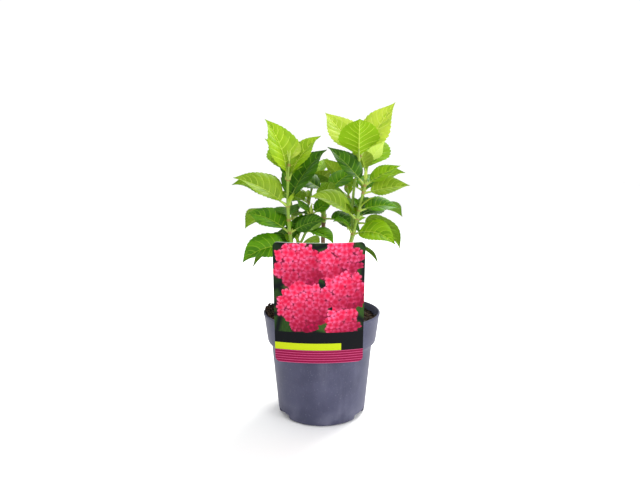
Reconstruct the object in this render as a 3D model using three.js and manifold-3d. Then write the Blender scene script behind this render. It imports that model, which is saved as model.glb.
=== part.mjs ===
// A young bigleaf hydrangea shrub in its nursery pot, with a picture label hung on the pot's rim.
// Millimetres. The underside of the pot stands on z = 0, its axis is the Z axis, the label faces -Y.
import * as THREE from 'three';
import { mergeVertices } from 'three/addons/utils/BufferGeometryUtils.js';
import Module from 'manifold-3d';

const wasm = await Module();
wasm.setup();

// Pot: a thin moulded shell with a wide collar above a small shoulder
const POT_HEIGHT = 115;
const RIM_RADIUS = 65;
const COLLAR_FOOT_RADIUS = 60.9;
const COLLAR_FOOT = 83;
const BODY_TOP_RADIUS = 56.3;
const BODY_TOP = 76;
const BASE_RADIUS = 49;
const BASE_ROUND = 3;
const POT_WALL = 1.6;
const POT_FLOOR = 8;
const FLOOR_ROUND = 4;
const POT_SIDES = 54;
const NOTCH_COUNT = 3;
const NOTCH_WIDTH = 24;
const NOTCH_HEIGHT = 6;
const NOTCH_INNER = 33;
const DRAIN_RADIUS = 3.5;

// Soil: peat that fills the pot to a little below the rim, heaped against it on the left
const CLEARANCE = 0.3;
const SOIL_TOP = 107;
const SOIL_BUMP = 1.6;
const HEAP_HEIGHT = 11;
const HEAP_TURN = 185;
const SOIL_SIDES = 48;
const SOIL_RINGS = 10;

// Label: a bowed card that leans outward, a little left of the middle, with a tongue over the rim
const LABEL_WIDTH = 90;
const LABEL_LENGTH = 129;
const LABEL_THICK = 0.9;
const LABEL_CORNER = 5;
const LABEL_BOW_RADIUS = 200;
const LABEL_COLUMNS = 14;
const LABEL_LEAN = 9.5;
const LABEL_FOOT = 75.5;
const LABEL_REST = 84;
const LABEL_SHIFT = -3;
const TONGUE_WIDTH = 16;
const TONGUE_THICK = 1;
const TONGUE_DEPTH = 24;

// Woody parts: a short stem and the boughs that carry the green shoots
const STEM_FOOT = [0, 5, SOIL_TOP + CLEARANCE];
const STEM_TOP = [1, 6, 125];
const STEM_RADII = [6.2, 4.6, 4.1, 4.3, 3.8];
const STEM_SIDES = 14;
const BOUGH_RADII = [2.7, 2.4, 2.5, 2.3];
const BOUGH_SIDES = 8;
const BOUGH_STEPS = 9;
const BOUGH_SWING = 0.35;

// Green shoots and leaves
const SHOOT_RADII = [2.2, 1.4];
const SIDE_SHOOT_RADII = [1.7, 1.2];
const SHOOT_SIDES = 6;
const PETIOLE_RADII = [1.35, 1.0];
const LEAF_THICK = 0.9;
const LEAF_RINGS = [0.07, 0.22, 0.41, 0.6, 0.77, 0.91];
const LEAF_WIDTH_RATIO = 0.8;
const LEAF_LEAN = 0.756;
const LEAF_FULLNESS = 0.9;
const LEAF_TAPER = 0.75;
const LEAF_TILT = 34;
const LEAF_CURL = 0.3;
const LEAF_WAVE = 0.05;
const PETIOLE_LENGTH = 4;
const PETIOLE_SHARE = 0.1;

// Colours and roughness of the pieces
const LOOKS = {
  pot: { color: 0x57576a, roughness: 0.5 },
  soil: { color: 0x3f382e, roughness: 0.95 },
  label: { color: 0xc9336f, roughness: 0.35 },
  wood: { color: 0x6b4a33, roughness: 0.85 },
  leaf: { color: 0x6fa521, roughness: 0.5 },
};

const rad = (degrees) => (degrees * Math.PI) / 180;
const add = (a, b, k = 1) => [a[0] + b[0] * k, a[1] + b[1] * k, a[2] + b[2] * k];
const unit = (a) => {
  const size = Math.hypot(...a);
  return [a[0] / size, a[1] / size, a[2] / size];
};
const cross = (a, b) => [a[1] * b[2] - a[2] * b[1], a[2] * b[0] - a[0] * b[2], a[0] * b[1] - a[1] * b[0]];

// Closed solids from points and triangles, and from three.js shapes

function solidFrom(points, faces) {
  const vertProperties = new Float32Array(points.flat());
  const made = (list) => new wasm.Manifold(new wasm.Mesh({
    numProp: 3, vertProperties, triVerts: new Uint32Array(list.flat()),
  }));
  const body = made(faces);
  return body.volume() > 0 ? body : made(faces.map(([a, b, c]) => [a, c, b]));
}

function solidOf(geometry) {
  geometry.deleteAttribute('normal');
  geometry.deleteAttribute('uv');
  const merged = mergeVertices(geometry, 1e-4);
  const places = Array.from(merged.attributes.position.array);
  const index = Array.from(merged.index.array);
  const points = [];
  const faces = [];
  for (let i = 0; i < places.length; i += 3) points.push(places.slice(i, i + 3));
  for (let i = 0; i < index.length; i += 3) {
    const [a, b, c] = index.slice(i, i + 3);
    if (a !== b && b !== c && c !== a) faces.push([a, b, c]);
  }
  return solidFrom(points, faces);
}

// A tube through the points of a path, capped at both ends, with a radius that may change along it
function tube(path, radii, sides, grow = 0) {
  const count = path.length;
  const points = [];
  const faces = [];
  let across = [1, 0, 0];
  for (let i = 0; i < count; i += 1) {
    const along = unit(add(path[Math.min(i + 1, count - 1)], path[Math.max(i - 1, 0)], -1));
    const up = unit(cross(along, Math.abs(along[0]) > 0.95 ? [0, 1, 0] : across));
    across = cross(up, along);
    const g = (i / (count - 1)) * (radii.length - 1);
    const k = Math.min(Math.floor(g), radii.length - 2);
    const radius = radii[k] + (radii[k + 1] - radii[k]) * (g - k) + grow;
    let centre = path[i];
    if (i === 0) centre = add(centre, along, -grow);
    if (i === count - 1) centre = add(centre, along, grow);
    for (let j = 0; j < sides; j += 1) {
      const turn = (2 * Math.PI * j) / sides;
      points.push(add(add(centre, across, radius * Math.cos(turn)), up, radius * Math.sin(turn)));
    }
    if (i > 0) {
      for (let j = 0; j < sides; j += 1) {
        const [a, b] = [(i - 1) * sides + j, (i - 1) * sides + ((j + 1) % sides)];
        faces.push([a, a + sides, b], [b, a + sides, b + sides]);
      }
    }
  }
  const last = (count - 1) * sides;
  for (let j = 1; j < sides - 1; j += 1) {
    faces.push([0, j, j + 1], [last, last + j + 1, last + j]);
  }
  return solidFrom(points, faces);
}

function named(name, body, look) {
  const mesh = body.getMesh();
  const geometry = new THREE.BufferGeometry();
  geometry.setAttribute('position', new THREE.BufferAttribute(Float32Array.from(mesh.vertProperties), 3));
  geometry.setIndex(new THREE.BufferAttribute(Uint32Array.from(mesh.triVerts), 1));
  const part = new THREE.Mesh(geometry, new THREE.MeshStandardMaterial({ ...look, metalness: 0 }));
  part.name = name;
  return part;
}

// Pot

function collarRadius(z) {
  const k = (z - COLLAR_FOOT) / (POT_HEIGHT - COLLAR_FOOT);
  return COLLAR_FOOT_RADIUS + (RIM_RADIUS - COLLAR_FOOT_RADIUS) * k;
}

function bodyRadius(z) {
  return BASE_RADIUS + ((BODY_TOP_RADIUS - BASE_RADIUS) * z) / BODY_TOP;
}

function potBody() {
  const profile = [[0, 0], [BASE_RADIUS - BASE_ROUND, 0]];
  profile.push([BASE_RADIUS - 0.9, 0.9], [bodyRadius(BASE_ROUND), BASE_ROUND]);
  profile.push([BODY_TOP_RADIUS, BODY_TOP]);
  profile.push([BODY_TOP_RADIUS + 0.6, BODY_TOP + 3.2], [BODY_TOP_RADIUS + 2.4, BODY_TOP + 5.6]);
  profile.push([COLLAR_FOOT_RADIUS - 0.5, COLLAR_FOOT - 0.4], [COLLAR_FOOT_RADIUS, COLLAR_FOOT + 0.6]);
  profile.push([RIM_RADIUS - 0.1, POT_HEIGHT - 1], [RIM_RADIUS - 0.5, POT_HEIGHT]);
  profile.push([RIM_RADIUS - POT_WALL, POT_HEIGHT - 0.2]);
  profile.push([COLLAR_FOOT_RADIUS - POT_WALL, COLLAR_FOOT + 0.8]);
  profile.push([BODY_TOP_RADIUS + 2.2 - POT_WALL, BODY_TOP + 6.6], [BODY_TOP_RADIUS - POT_WALL, BODY_TOP]);
  profile.push([bodyRadius(POT_FLOOR + FLOOR_ROUND) - POT_WALL, POT_FLOOR + FLOOR_ROUND]);
  profile.push([bodyRadius(POT_FLOOR) - POT_WALL - 2.6, POT_FLOOR], [0, POT_FLOOR]);
  const lathe = new THREE.LatheGeometry(profile.map(([x, y]) => new THREE.Vector2(x, y)), POT_SIDES);
  lathe.rotateX(Math.PI / 2);
  let body = solidOf(lathe);
  for (let i = 0; i < NOTCH_COUNT; i += 1) {
    const turn = rad(90 + (360 * i) / NOTCH_COUNT);
    const length = BASE_RADIUS + 4 - NOTCH_INNER;
    const channel = new THREE.BoxGeometry(length, NOTCH_WIDTH, 2 * NOTCH_HEIGHT);
    channel.translate(NOTCH_INNER + length / 2, 0, 0);
    channel.rotateZ(turn);
    const drain = new THREE.CylinderGeometry(DRAIN_RADIUS, DRAIN_RADIUS, 4 * POT_FLOOR, 14);
    drain.rotateX(Math.PI / 2);
    drain.translate((NOTCH_INNER + 6) * Math.cos(turn), (NOTCH_INNER + 6) * Math.sin(turn), 0);
    body = body.subtract(solidOf(channel)).subtract(solidOf(drain));
  }
  return body;
}

// Soil

function soilTop(x, y) {
  const radius = Math.hypot(x, y);
  const turn = Math.atan2(y, x) - rad(HEAP_TURN);
  const away = Math.hypot(x - STEM_FOOT[0], y - STEM_FOOT[1]);
  const calm = Math.min(1, Math.max(0, (away - 8) / 8));
  const waves = Math.sin(x * 0.31 + 1.3) * Math.cos(y * 0.27 - 0.6) + 0.6 * Math.sin(x * 0.13 - y * 0.19);
  const heap = Math.max(0, Math.cos(turn)) ** 3 * Math.max(0, (radius - 38) / 25) ** 2;
  return SOIL_TOP + calm * (SOIL_BUMP * waves + HEAP_HEIGHT * heap);
}

function soilRadius(z) {
  if (z < BODY_TOP) return bodyRadius(z) - POT_WALL - CLEARANCE;
  if (z < COLLAR_FOOT + 0.8) return BODY_TOP_RADIUS - POT_WALL - CLEARANCE;
  return collarRadius(z) - POT_WALL - 2 * CLEARANCE;
}

function soilBody(cuts) {
  const points = [[STEM_FOOT[0], STEM_FOOT[1], SOIL_TOP]];
  const faces = [];
  for (let i = 1; i <= SOIL_RINGS; i += 1) {
    for (let j = 0; j < SOIL_SIDES; j += 1) {
      const turn = (2 * Math.PI * j) / SOIL_SIDES;
      const radius = (soilRadius(SOIL_TOP) * i) / SOIL_RINGS;
      const shift = 1 - i / SOIL_RINGS;
      const x = radius * Math.cos(turn) + STEM_FOOT[0] * shift;
      const y = radius * Math.sin(turn) + STEM_FOOT[1] * shift;
      points.push([x, y, soilTop(x, y)]);
    }
  }
  const neck = soilRadius(BODY_TOP);
  const low = POT_FLOOR + FLOOR_ROUND + 1;
  const levels = [COLLAR_FOOT + 1, COLLAR_FOOT - 1.2, BODY_TOP, low, POT_FLOOR + CLEARANCE];
  const heel = soilRadius(POT_FLOOR) - 3.4;
  const reach = [soilRadius(COLLAR_FOOT + 1) - CLEARANCE, neck, neck, soilRadius(low), heel];
  levels.forEach((z, k) => {
    for (let j = 0; j < SOIL_SIDES; j += 1) {
      const turn = (2 * Math.PI * j) / SOIL_SIDES;
      points.push([reach[k] * Math.cos(turn), reach[k] * Math.sin(turn), z]);
    }
  });
  points.push([0, 0, POT_FLOOR + CLEARANCE]);
  const rings = SOIL_RINGS + levels.length;
  for (let j = 0; j < SOIL_SIDES; j += 1) {
    const next = (j + 1) % SOIL_SIDES;
    faces.push([0, 1 + j, 1 + next]);
    for (let i = 0; i < rings - 1; i += 1) {
      const [a, b] = [1 + i * SOIL_SIDES + j, 1 + i * SOIL_SIDES + next];
      faces.push([a, a + SOIL_SIDES, b], [b, a + SOIL_SIDES, b + SOIL_SIDES]);
    }
    const foot = 1 + (rings - 1) * SOIL_SIDES;
    faces.push([foot + j, points.length - 1, foot + next]);
  }
  let body = solidFrom(points, faces);
  cuts.forEach((cut) => {
    body = body.subtract(cut);
  });
  return body;
}

// Label: a curved card trimmed to a rounded outline, leaned outward, with its tongue

function leaned(geometry) {
  geometry.rotateX(rad(LABEL_LEAN));
  const inner = COLLAR_FOOT_RADIUS + CLEARANCE + 0.2;
  const drop = LABEL_REST - LABEL_FOOT;
  geometry.translate(LABEL_SHIFT, -inner + drop * Math.tan(rad(LABEL_LEAN)), LABEL_FOOT);
  return geometry;
}

function tongueBody(grow) {
  const wall = RIM_RADIUS - POT_WALL;
  const outer = -(COLLAR_FOOT_RADIUS + (POT_HEIGHT + 1 - LABEL_REST) * Math.tan(rad(LABEL_LEAN)) + 0.9);
  const corner = TONGUE_WIDTH / 2 + Math.abs(LABEL_SHIFT);
  const slack = corner ** 2 / 2 / wall + CLEARANCE + TONGUE_THICK;
  const inner = -(wall - slack - 0.2);
  const top = POT_HEIGHT + CLEARANCE;
  const slope = (RIM_RADIUS - COLLAR_FOOT_RADIUS) / (POT_HEIGHT - COLLAR_FOOT);
  const shape = new THREE.Shape();
  shape.moveTo(outer - grow, top - grow);
  shape.lineTo(inner - TONGUE_THICK - grow, top - grow);
  shape.lineTo(inner - TONGUE_THICK + TONGUE_DEPTH * slope - grow, top - TONGUE_DEPTH - grow);
  shape.lineTo(inner + TONGUE_DEPTH * slope + grow, top - TONGUE_DEPTH - grow);
  shape.lineTo(inner + grow, top + TONGUE_THICK + grow);
  shape.lineTo(outer - grow, top + TONGUE_THICK + grow);
  const width = TONGUE_WIDTH + 2 * grow;
  const strip = new THREE.ExtrudeGeometry(shape, { depth: width, bevelEnabled: false });
  strip.translate(0, 0, -width / 2);
  strip.applyMatrix4(new THREE.Matrix4().set(0, 0, 1, LABEL_SHIFT, 1, 0, 0, 0, 0, 1, 0, 0, 0, 0, 0, 1));
  return solidOf(strip);
}

function labelBody() {
  const points = [];
  const faces = [];
  const bow = (x) => (x * x) / (2 * LABEL_BOW_RADIUS);
  for (let i = 0; i <= LABEL_COLUMNS; i += 1) {
    const x = LABEL_WIDTH * (i / LABEL_COLUMNS - 0.5) * 1.02;
    const [low, high] = [-1, LABEL_LENGTH + 1];
    [[0, low], [-LABEL_THICK, low], [-LABEL_THICK, high], [0, high]].forEach(([y, z]) => {
      points.push([x, y + bow(x), z]);
    });
    if (i > 0) {
      for (let j = 0; j < 4; j += 1) {
        const [a, b] = [4 * (i - 1) + j, 4 * (i - 1) + ((j + 1) % 4)];
        faces.push([a, b, a + 4], [b, b + 4, a + 4]);
      }
    }
  }
  const last = 4 * LABEL_COLUMNS;
  faces.push([0, 2, 1], [0, 3, 2], [last, last + 1, last + 2], [last, last + 2, last + 3]);
  const sheet = new THREE.BufferGeometry();
  sheet.setAttribute('position', new THREE.BufferAttribute(Float32Array.from(points.flat()), 3));
  sheet.setIndex(faces.flat());
  const [w, h, r] = [LABEL_WIDTH / 2, LABEL_LENGTH, LABEL_CORNER];
  const outline = new THREE.Shape();
  outline.moveTo(-w + r, 0);
  outline.lineTo(w - r, 0);
  outline.absarc(w - r, r, r, -Math.PI / 2, 0);
  outline.lineTo(w, h - r);
  outline.absarc(w - r, h - r, r, 0, Math.PI / 2);
  outline.lineTo(-w + r, h);
  outline.absarc(-w + r, h - r, r, Math.PI / 2, Math.PI);
  outline.lineTo(-w, r);
  outline.absarc(-w + r, r, r, Math.PI, 1.5 * Math.PI);
  const trim = new THREE.ExtrudeGeometry(outline, { depth: 30, bevelEnabled: false, curveSegments: 4 });
  trim.rotateX(Math.PI / 2);
  trim.translate(0, 15, 0);
  return solidOf(leaned(sheet)).intersect(solidOf(leaned(trim))).add(tongueBody(0));
}

// Growth: each foliage mass is one green stem, in places forked, that carries opposite pairs of leaves.
// A pair is its height and its droop, then the turn, the rise and the size of its one or two leaves.
// A side shoot forks off the first shoot of its mass at a height. The side that a shoot faces is
// where its light comes from: its leaves tilt that way.
const MASSES = {
  foliage_front_left: [
    { foot: [-26, -14, 156], tip: [-34, -30, 278], bow: [-5, -2], faces: -90, fold: 30, seed: 11,
      pairs: [[188, 65, 200, 14, 50, 122, 40, 38], [205, 34, 160, 36, 48, 345, 33, 36],
        [233, 30, 195, 44, 56, 18, 67, 66], [260, 30, 172, 85, 60, 10, 64, 51],
        [276, 10, 75, 68, 30], [219, 40, 96, 22, 44]] },
    { fork: 180, tip: [-12, -12, 222], bow: [2, 0], faces: -60, fold: 26, seed: 15,
      pairs: [[206, 50, 318, 4, 36], [222, 20, 24, 44, 28, 150, 50, 20]] },
  ],
  foliage_front_right: [
    { foot: [22, -12, 160], tip: [46, -20, 258], bow: [0.5, -2], faces: -90, fold: 30, seed: 23,
      pairs: [[203, 66, 216, 58, 26, 328, 16, 46], [219, 46, 202, 42, 51, 50, 28, 44],
        [228, 38, 10, 20, 40, 88, 24, 42], [247, 12, 352, 18, 42, 68, 30, 40],
        [255, 14, 166, 50, 50, 2, 38, 36]] },
    { fork: 203, tip: [41, -4, 285], bow: [-3, 3], faces: -90, fold: 28, seed: 29,
      pairs: [[280, 28, 269, 49, 57], [286, 5, 143, 50, 57, 6, 60, 59]] },
  ],
  foliage_centre: [
    { foot: [2, 16, 212], tip: [4, 14, 246], bow: [0, 0], faces: -90, fold: 26, seed: 31,
      pairs: [[217, 60, 192, -8, 44, 8, 2, 42], [233, 40, 100, 20, 38, 280, 64, 32],
        [246, 20, 186, 36, 44, 16, 40, 42]] },
  ],
  foliage_back_left: [
    { foot: [-20, 24, 160], tip: [-40, 42, 274], bow: [-4, 6], faces: 115, fold: 26, seed: 47,
      pairs: [[184, 70, 205, 4, 54, 62, 4, 44], [214, 60, 152, 15, 66, 300, 30, 40],
        [243, 40, 184, 28, 60, 348, 34, 48], [264, 20, 100, 46, 60, 258, 58, 44],
        [274, 10, 180, 58, 36, 350, 58, 30]] },
    { fork: 192, tip: [-12, 60, 250], bow: [2, 6], faces: 95, fold: 26, seed: 53,
      pairs: [[208, 60, 80, 5, 56], [232, 40, 130, 18, 54, 212, 30, 36],
        [250, 22, 70, 46, 52, 318, 44, 32]] },
  ],
  foliage_back_right: [
    { foot: [24, 24, 160], tip: [52, 38, 276], bow: [5, 4], faces: 60, fold: 26, seed: 59,
      pairs: [[184, 60, 335, -5, 34], [210, 75, 350, 5, 54], [222, 50, 32, 15, 64],
        [247, 35, 0, 40, 46, 168, 34, 36], [268, 20, 65, 48, 60, 245, 48, 36],
        [276, 10, 155, 58, 36, 340, 58, 30]] },
    { fork: 198, tip: [30, 62, 252], bow: [2, 8], faces: 90, fold: 26, seed: 61,
      pairs: [[214, 60, 95, 5, 56], [238, 38, 132, 24, 52], [252, 20, 60, 46, 52, 205, 54, 38]] },
  ],
};

function draws(seed) {
  let state = seed >>> 0;
  return () => {
    state = (Math.imul(state, 1664525) + 1013904223) >>> 0;
    return state / 4294967296;
  };
}

function shootPoint({ foot, tip, bow }, z) {
  const f = (z - foot[2]) / (tip[2] - foot[2]);
  const k = 4 * f * (1 - f);
  return [foot[0] + (tip[0] - foot[0]) * f + bow[0] * k, foot[1] + (tip[1] - foot[1]) * f + bow[1] * k, z];
}

Object.values(MASSES).forEach(([main, ...sides]) => sides.forEach((side) => {
  side.foot = shootPoint(main, side.fork);
}));

function leavesOf(shoot) {
  const draw = draws(shoot.seed);
  const leaves = [];
  shoot.pairs.forEach(([z, droop, ...two]) => {
    for (let side = 0; side < 2; side += 1) {
      const chance = Array.from({ length: 6 }, () => draw() * 2 - 1);
      const [turn, rise, size] = two.slice(3 * side, 3 * side + 3);
      if (size === undefined) continue;
      leaves.push({
        foot: shootPoint(shoot, z),
        turn: rad(turn + 5 * chance[0]),
        rise: rad(rise + 3 * chance[1]),
        droop: rad(droop * (1 + 0.15 * chance[2])),
        roll: rad(8 * chance[3] - LEAF_TILT * Math.sin(rad(shoot.faces - turn))),
        length: size,
        width: size * LEAF_WIDTH_RATIO * (1 + 0.06 * chance[4]),
        petiole: PETIOLE_LENGTH + PETIOLE_SHARE * size,
        fold: rad(shoot.fold + 6 * chance[5]),
        wave: 3 * chance[4],
      });
    }
  });
  return leaves;
}

// Half the width of a blade at a place along its midrib: broad below the middle, drawn out to a point
function bladeReach(s) {
  const full = Math.max(0, Math.sin(Math.PI * s ** LEAF_LEAN)) ** LEAF_FULLNESS;
  return full * (1 - LEAF_TAPER * s ** 4);
}

// A place on a blade: s runs from its base to its point, t from margin to margin, lift stands off it
function leafPoint(leaf, s, t, lift = 0) {
  const { turn, rise, droop, roll, fold, length, petiole } = leaf;
  const w = (leaf.width / 2) * bladeReach(s);
  const slope = rise - droop * s;
  const out = (length / droop) * (Math.sin(rise) - Math.sin(slope)) + petiole * Math.cos(rise);
  const up = (length / droop) * (Math.cos(slope) - Math.cos(rise)) + petiole * Math.sin(rise);
  const away = [Math.cos(turn), Math.sin(turn)];
  const level = [-away[1], away[0], 0];
  const normal = [-Math.sin(slope) * away[0], -Math.sin(slope) * away[1], Math.cos(slope)];
  const side = level.map((value, k) => value * Math.cos(roll) + normal[k] * Math.sin(roll));
  const face = normal.map((value, k) => value * Math.cos(roll) - level[k] * Math.sin(roll));
  const u = Math.abs(t) * w;
  const waved = LEAF_WAVE * w * t * t * Math.sin(9 * s + leaf.wave);
  const raised = u * Math.sin(fold) - (LEAF_CURL * u * u) / (leaf.width / 2) + waved;
  const midrib = [leaf.foot[0] + out * away[0], leaf.foot[1] + out * away[1], leaf.foot[2] + up];
  return add(add(midrib, side, t * w * Math.cos(fold)), face, raised + lift);
}

function leafBody(leaf) {
  const half = LEAF_THICK / 2;
  const points = [leafPoint(leaf, 0.001, 0)];
  const upper = [[-1, 0], [-0.5, half], [0, half], [0.5, half]];
  const around = [...upper, [1, 0], [0.5, -half], [0, -half], [-0.5, -half]];
  const faces = [];
  LEAF_RINGS.forEach((s, i) => {
    const start = points.length;
    around.forEach(([t, lift], j) => {
      points.push(leafPoint(leaf, s, t, lift));
      const next = (j + 1) % around.length;
      const before = start - around.length;
      if (i === 0) faces.push([0, start + j, start + next]);
      else faces.push([before + j, start + j, before + next], [before + next, start + j, start + next]);
    });
  });
  const point = points.length;
  const last = point - around.length;
  points.push(leafPoint(leaf, 1, 0));
  around.forEach((_, j) => faces.push([last + j, point, last + ((j + 1) % around.length)]));
  return solidFrom(points, faces);
}

function shootPath(shoot, steps) {
  const [low, high] = [shoot.foot[2], shoot.tip[2] + 2];
  return Array.from({ length: steps + 1 }, (_, i) => shootPoint(shoot, low + ((high - low) * i) / steps));
}

function massBody(shoots) {
  let body = tube(shootPath(shoots[0], 7), SHOOT_RADII, SHOOT_SIDES);
  shoots.slice(1).forEach((shoot) => {
    body = body.add(tube(shootPath(shoot, 5), SIDE_SHOOT_RADII, SHOOT_SIDES));
  });
  shoots.forEach((shoot) => leavesOf(shoot).forEach((leaf) => {
    body = body.add(tube([leaf.foot, leafPoint(leaf, 0.1, 0)], PETIOLE_RADII, 4)).add(leafBody(leaf));
  }));
  return body;
}

// A bough leaves the side of the stem at a height, and swings up to the foot of its green shoot
function boughBody(shoot, height, stem) {
  const heading = unit(add(shootPoint(shoot, shoot.foot[2] + 8), shoot.foot, -1));
  const k = (height - STEM_FOOT[2]) / (STEM_TOP[2] - STEM_FOOT[2]);
  const start = STEM_FOOT.map((value, axis) => value + (STEM_TOP[axis] - value) * k);
  const end = add(shoot.foot, heading, -CLEARANCE);
  const span = Math.hypot(...add(end, start, -1));
  const outward = unit([end[0] - start[0], end[1] - start[1], 9]);
  const swing = BOUGH_SWING * span;
  const bends = [start, add(start, outward, swing), add(end, heading, -swing), end];
  const curve = new THREE.CubicBezierCurve3(...bends.map((p) => new THREE.Vector3(...p)));
  const path = curve.getPoints(BOUGH_STEPS).map((p) => p.toArray());
  const socket = SHOOT_RADII[0] + 0.4;
  const foot = tube([shoot.foot, add(shoot.foot, heading, 5)], [socket, socket], 12, CLEARANCE);
  return tube(path, BOUGH_RADII, BOUGH_SIDES).subtract(stem).subtract(foot);
}

// The stem rises straight out of the soil and then leans a little
const stemPath = [0, 0.14, 0.35, 0.6, 0.8, 1].map((k) => {
  const lean = Math.max(0, k - 0.14) / 0.86;
  return STEM_FOOT.map((value, axis) => value + (STEM_TOP[axis] - value) * (axis === 2 ? k : lean));
});
const stemSpace = tube(stemPath, STEM_RADII, STEM_SIDES, CLEARANCE);

// Each bough, the mass that it carries, and the height at which it leaves the stem
const BOUGHS = {
  bough_front_left: ['foliage_front_left', 117],
  bough_front_right: ['foliage_front_right', 119],
  bough_centre: ['foliage_centre', 122],
  bough_back_left: ['foliage_back_left', 118],
  bough_back_right: ['foliage_back_right', 116],
};

const slot = tongueBody(CLEARANCE);
const slots = [slot, slot.translate([0, -1, 0]), slot.translate([0, -2, 0])];

const plant = new THREE.Group();
plant.add(named('pot', potBody(), LOOKS.pot));
plant.add(named('soil', soilBody(slots), LOOKS.soil));
plant.add(named('label', labelBody(), LOOKS.label));
plant.add(named('main_stem', tube(stemPath, STEM_RADII, STEM_SIDES), LOOKS.wood));
Object.entries(BOUGHS).forEach(([name, [mass, height]]) => {
  plant.add(named(name, boughBody(MASSES[mass][0], height, stemSpace), LOOKS.wood));
});
Object.entries(MASSES).forEach(([name, shoots]) => plant.add(named(name, massBody(shoots), LOOKS.leaf)));

export default plant;
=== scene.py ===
"""A young bigleaf hydrangea shrub in its nursery pot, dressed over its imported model.

Sizes are in millimetres, as in the part's source, and become metres in the mesh. The lamps, the floor
and the patterns of the materials are in metres.
"""
import math
import random

import bmesh
import bpy
from mathutils import Matrix, Vector, noise


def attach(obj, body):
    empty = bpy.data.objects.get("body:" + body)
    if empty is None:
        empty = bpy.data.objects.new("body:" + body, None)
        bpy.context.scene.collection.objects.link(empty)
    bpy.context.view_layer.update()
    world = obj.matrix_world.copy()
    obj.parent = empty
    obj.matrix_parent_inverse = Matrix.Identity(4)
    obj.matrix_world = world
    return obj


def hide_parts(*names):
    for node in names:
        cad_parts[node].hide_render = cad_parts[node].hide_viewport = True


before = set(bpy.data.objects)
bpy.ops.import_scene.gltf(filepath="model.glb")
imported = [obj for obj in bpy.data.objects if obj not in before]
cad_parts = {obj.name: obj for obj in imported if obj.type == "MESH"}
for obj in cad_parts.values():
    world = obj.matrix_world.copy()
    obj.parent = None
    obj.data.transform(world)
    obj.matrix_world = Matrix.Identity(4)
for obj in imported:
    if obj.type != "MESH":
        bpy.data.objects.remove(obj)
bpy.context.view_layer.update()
MM = 0.001

# Camera
# It stands a little over half a metre in front of the pot, level with the middle of the crown, and
# looks slightly down, so the far rim of the pot and some of the soil show.
SENSOR_WIDTH = 36.0
LENS = 29.33
CAMERA_PLACE = (-2.0, -574.0, 271.45)
CAMERA_PITCH = 82.39
camera_data = bpy.data.cameras.new("view")
camera_data.sensor_width = SENSOR_WIDTH
camera_data.lens = LENS
camera_data.clip_start = 0.01
camera = bpy.data.objects.new("view", camera_data)
camera.location = [value * MM for value in CAMERA_PLACE]
camera.rotation_euler = (math.radians(CAMERA_PITCH), 0.0, 0.0)
bpy.context.collection.objects.link(camera)
bpy.context.scene.camera = camera

# Light and floor
# A white room: even light from all round, a large soft lamp above and behind that shines through the
# upper leaves, and a weaker one in front, from the right, for the pot and its label.
ROOM_LIGHT = 1.06
FLOOR_SIZE = 24.0
FLOOR_DROP = 0.0004
scene = bpy.context.scene
scene.view_settings.view_transform = "Standard"
scene.view_settings.look = "None"
scene.view_settings.exposure = 0.0
room = bpy.data.worlds.new("room")
room.use_nodes = True
room.node_tree.nodes["Background"].inputs["Color"].default_value = (1.0, 1.0, 1.0, 1.0)
room.node_tree.nodes["Background"].inputs["Strength"].default_value = ROOM_LIGHT
scene.world = room


def lamp(name, place, target, across, watts, colour):
    """A round soft lamp that faces its target."""
    data = bpy.data.lights.new(name, "AREA")
    data.shape = "DISK"
    data.size = across
    data.energy = watts
    data.color = colour
    lit = bpy.data.objects.new(name, data)
    lit.location = place
    lit.rotation_euler = (Vector(target) - Vector(place)).to_track_quat("-Z", "Y").to_euler()
    bpy.context.collection.objects.link(lit)


lamp(
    "window_above", place=(0.55, 0.75, 1.25), target=(0.0, 0.0, 0.25), across=0.9, watts=23.0,
    colour=(1.0, 0.99, 0.96))
lamp(
    "window_front", place=(1.0, -0.95, 0.7), target=(0.0, 0.0, 0.15), across=0.8, watts=9.0,
    colour=(0.97, 0.98, 1.0))

bpy.ops.object.select_all(action="DESELECT")
bpy.ops.mesh.primitive_plane_add(size=FLOOR_SIZE, location=(0.0, 0.0, -FLOOR_DROP))
floor = bpy.context.object
floor.name = "floor"
white = bpy.data.materials.new("white_floor")
white.use_nodes = True
white.node_tree.nodes["Principled BSDF"].inputs["Base Color"].default_value = (0.95, 0.95, 0.95, 1.0)
white.node_tree.nodes["Principled BSDF"].inputs["Roughness"].default_value = 0.8
floor.data.materials.append(white)

# Pot
# A thin injection-moulded nursery pot of slate grey plastic. It has a wide collar over a small
# shoulder, a straight tapered wall, and a foot broken by drain notches. It is satin, dusty and scuffed.
POT_SIDES = 160
POT_HEIGHT = 115.0
RIM_RADIUS = 65.0
COLLAR_RADIUS = 60.9
COLLAR_FOOT = 83.0
NECK_RADIUS = 56.3
NECK = 76.0
BASE_RADIUS = 49.0
WALL = 1.6
POT_FLOOR = 8.0
FLOOR_ROUND = 4.0
NOTCH_TURNS = (90, 210, 330)
NOTCH_WIDTH = 24.0
NOTCH_HEIGHT = 6.0
NOTCH_DEPTH = 20.0
NOTCH_PLACE = 43.0
NOTCH_ROUND = 2.0
DRAIN_RADIUS = 3.5
DRAIN_LENGTH = 24.0
DRAIN_PLACE = 39.0


def body_radius(z):
    """The radius of the tapered wall, measured outside."""
    return BASE_RADIUS + (NECK_RADIUS - BASE_RADIUS) * z / NECK


def collar_radius(z):
    """The radius of the collar, measured outside."""
    return COLLAR_RADIUS + (RIM_RADIUS - COLLAR_RADIUS) * (z - COLLAR_FOOT) / (POT_HEIGHT - COLLAR_FOOT)


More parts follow.
